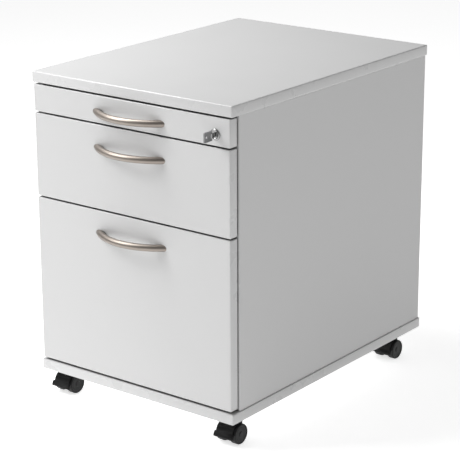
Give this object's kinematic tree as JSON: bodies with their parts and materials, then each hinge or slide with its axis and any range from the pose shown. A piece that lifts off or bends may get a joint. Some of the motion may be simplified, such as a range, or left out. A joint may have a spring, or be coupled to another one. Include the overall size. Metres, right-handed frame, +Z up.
{
  "type": "rolling pedestal cabinet",
  "caption": "Under-desk mobile pedestal with pen, box and hanging-file drawers, bow handles, a central key lock and twin-wheel swivel casters.",
  "frame": {"origin": "on the floor, under the middle of the whole object with its handles", "axes": "+Z up, -Y is the drawers' opening direction, +X to the right seen from the front"},
  "size_m": [0.428, 0.61, 0.59],
  "materials": {
    "board": "pale grey melamine facing with matching ABS edging, fine matt grain",
    "beech": "fluted beech dowel",
    "zinc_steel": "bright zinc-plated steel",
    "grey_steel": "light grey powder coat",
    "satin_nickel": "satin nickel",
    "tray_plastic": "black moulded polystyrene",
    "roller_nylon": "white nylon",
    "anodised": "natural anodised",
    "bearing_steel": "polished balls in a plain strip",
    "lock_chrome": "polished nickel-chrome plate",
    "key_steel": "nickel-plated",
    "key_plastic": "mid grey moulded plastic",
    "black_plastic": "black acetal",
    "caster_plastic": "black moulded nylon"
  },
  "bodies": {
    "cabinet": {"top_panel": "board", "base_panel": "board", "side_panel_left": "board", "side_panel_right": "board", "back_panel": "board", "carcass_dowels": "beech", "tray_rails": "zinc_steel", "box_rail_left": "zinc_steel", "box_rail_right": "zinc_steel", "file_slide_cabinet_members": "zinc_steel", "rail_screws": "zinc_steel", "bar_guides": "black_plastic", "caster_plates": "zinc_steel", "caster_screws": "zinc_steel"},
    "pen_drawer": {"pen_drawer_front": "board", "pen_drawer_handle": "satin_nickel", "pen_handle_screws": "zinc_steel", "pen_tray": "tray_plastic", "lock_cylinder": "lock_chrome", "lock_nut": "zinc_steel"},
    "lock_core": {"lock_plug": "lock_chrome", "lock_cam": "zinc_steel", "cam_screw": "zinc_steel"},
    "key_blade": {"key_blade": "key_steel"},
    "key_bow": {"key_bow": "key_plastic"},
    "locking_bar": {"locking_bar": "zinc_steel"},
    "box_drawer": {"box_drawer_front": "board", "box_drawer_handle": "satin_nickel", "box_handle_screws": "zinc_steel", "box_drawer_shell": "grey_steel", "box_runner_left": "zinc_steel", "box_runner_right": "zinc_steel"},
    "box_front_rollers": {"box_front_rollers": "roller_nylon"},
    "box_rear_rollers": {"box_rear_rollers": "roller_nylon"},
    "file_drawer": {"file_drawer_front": "board", "file_drawer_handle": "satin_nickel", "file_handle_screws": "zinc_steel", "file_drawer_shell": "grey_steel", "hanging_rails": "anodised", "file_slide_drawer_members": "zinc_steel"},
    "file_slide_middle": {"file_slide_middle_members": "zinc_steel"},
    "file_outer_balls": {"file_slide_outer_balls": "bearing_steel"},
    "file_inner_balls": {"file_slide_inner_balls": "bearing_steel"},
    "caster_front_left": {"caster_front_left_fork": "caster_plastic", "caster_front_left_axle": "zinc_steel"},
    "caster_front_left_wheel_left": {"caster_front_left_wheel_left": "caster_plastic"},
    "caster_front_left_wheel_right": {"caster_front_left_wheel_right": "caster_plastic"},
    "caster_front_right": {"caster_front_right_fork": "caster_plastic", "caster_front_right_axle": "zinc_steel"},
    "caster_front_right_wheel_left": {"caster_front_right_wheel_left": "caster_plastic"},
    "caster_front_right_wheel_right": {"caster_front_right_wheel_right": "caster_plastic"},
    "caster_rear_left": {"caster_rear_left_fork": "caster_plastic", "caster_rear_left_axle": "zinc_steel"},
    "caster_rear_left_wheel_left": {"caster_rear_left_wheel_left": "caster_plastic"},
    "caster_rear_left_wheel_right": {"caster_rear_left_wheel_right": "caster_plastic"},
    "caster_rear_right": {"caster_rear_right_fork": "caster_plastic", "caster_rear_right_axle": "zinc_steel"},
    "caster_rear_right_wheel_left": {"caster_rear_right_wheel_left": "caster_plastic"},
    "caster_rear_right_wheel_right": {"caster_rear_right_wheel_right": "caster_plastic"}
  },
  "joints": [
    {"name": "pen_drawer_slide", "type": "slide", "parent": "cabinet", "child": "pen_drawer", "axis": [0, -1, 0], "range_m": [0, 0.3]},
    {"name": "box_drawer_slide", "type": "slide", "parent": "cabinet", "child": "box_drawer", "axis": [0, -1, 0], "range_m": [0, 0.38]},
    {"name": "file_drawer_slide", "type": "slide", "parent": "cabinet", "child": "file_drawer", "axis": [0, -1, 0], "range_m": [0, 0.49]},
    {"name": "file_middle_slide", "type": "slide", "parent": "cabinet", "child": "file_slide_middle", "axis": [0, -1, 0], "range_m": [0, 0.245]},
    {"name": "file_outer_balls_slide", "type": "slide", "parent": "cabinet", "child": "file_outer_balls", "axis": [0, -1, 0], "range_m": [0, 0.1225]},
    {"name": "file_inner_balls_slide", "type": "slide", "parent": "cabinet", "child": "file_inner_balls", "axis": [0, -1, 0], "range_m": [0, 0.3675]},
    {"name": "box_front_roller_turn", "type": "hinge", "parent": "cabinet", "child": "box_front_rollers", "pos_m": [0, -0.202, 0.3876], "axis": [1, 0, 0], "range_deg": [0, 2200]},
    {"name": "box_rear_roller_turn", "type": "hinge", "parent": "box_drawer", "child": "box_rear_rollers", "pos_m": [0, 0.23, 0.3874], "axis": [1, 0, 0], "range_deg": [0, 2200]},
    {"name": "key_turn", "type": "hinge", "parent": "pen_drawer", "child": "lock_core", "pos_m": [0.181, -0.275, 0.54], "axis": [0, -1, 0], "range_deg": [0, 90]},
    {"name": "locking_bar_lift", "type": "slide", "parent": "cabinet", "child": "locking_bar", "axis": [0, 0, 1], "range_m": [0, 0.00628]},
    {"name": "key_pull", "type": "slide", "parent": "lock_core", "child": "key_blade", "axis": [0, -1, 0], "range_m": [0, 0.022]},
    {"name": "key_fold", "type": "hinge", "parent": "key_blade", "child": "key_bow", "pos_m": [0.181, -0.2862, 0.54], "axis": [0, 0, 1], "range_deg": [-90, 90]},
    {"name": "caster_front_left_swivel", "type": "hinge", "parent": "cabinet", "child": "caster_front_left", "pos_m": [-0.1835, -0.227, 0.04], "axis": [0, 0, 1], "continuous": true},
    {"name": "caster_front_left_roll_left", "type": "hinge", "parent": "caster_front_left", "child": "caster_front_left_wheel_left", "pos_m": [-0.1979, -0.239, 0.018], "axis": [1, 0, 0], "continuous": true},
    {"name": "caster_front_left_roll_right", "type": "hinge", "parent": "caster_front_left", "child": "caster_front_left_wheel_right", "pos_m": [-0.1691, -0.239, 0.018], "axis": [1, 0, 0], "continuous": true},
    {"name": "caster_front_right_swivel", "type": "hinge", "parent": "cabinet", "child": "caster_front_right", "pos_m": [0.1835, -0.227, 0.04], "axis": [0, 0, 1], "continuous": true},
    {"name": "caster_front_right_roll_left", "type": "hinge", "parent": "caster_front_right", "child": "caster_front_right_wheel_left", "pos_m": [0.1691, -0.239, 0.018], "axis": [1, 0, 0], "continuous": true},
    {"name": "caster_front_right_roll_right", "type": "hinge", "parent": "caster_front_right", "child": "caster_front_right_wheel_right", "pos_m": [0.1979, -0.239, 0.018], "axis": [1, 0, 0], "continuous": true},
    {"name": "caster_rear_left_swivel", "type": "hinge", "parent": "cabinet", "child": "caster_rear_left", "pos_m": [-0.1835, 0.257, 0.04], "axis": [0, 0, 1], "continuous": true},
    {"name": "caster_rear_left_roll_left", "type": "hinge", "parent": "caster_rear_left", "child": "caster_rear_left_wheel_left", "pos_m": [-0.1979, 0.245, 0.018], "axis": [1, 0, 0], "continuous": true},
    {"name": "caster_rear_left_roll_right", "type": "hinge", "parent": "caster_rear_left", "child": "caster_rear_left_wheel_right", "pos_m": [-0.1691, 0.245, 0.018], "axis": [1, 0, 0], "continuous": true},
    {"name": "caster_rear_right_swivel", "type": "hinge", "parent": "cabinet", "child": "caster_rear_right", "pos_m": [0.1835, 0.257, 0.04], "axis": [0, 0, 1], "continuous": true},
    {"name": "caster_rear_right_roll_left", "type": "hinge", "parent": "caster_rear_right", "child": "caster_rear_right_wheel_left", "pos_m": [0.1691, 0.245, 0.018], "axis": [1, 0, 0], "continuous": true},
    {"name": "caster_rear_right_roll_right", "type": "hinge", "parent": "caster_rear_right", "child": "caster_rear_right_wheel_right", "pos_m": [0.1979, 0.245, 0.018], "axis": [1, 0, 0], "continuous": true}
  ],
  "couplings": [
    {"joint": "file_middle_slide", "follows": "file_drawer_slide", "ratio": 0.5},
    {"joint": "file_outer_balls_slide", "follows": "file_drawer_slide", "ratio": 0.25},
    {"joint": "file_inner_balls_slide", "follows": "file_drawer_slide", "ratio": 0.75},
    {"joint": "box_front_roller_turn", "follows": "box_drawer_slide", "rad_per_m": 100},
    {"joint": "box_rear_roller_turn", "follows": "box_drawer_slide", "rad_per_m": 100},
    {"joint": "key_turn", "follows": "locking_bar_lift", "rad_per_m": 250}
  ]
}
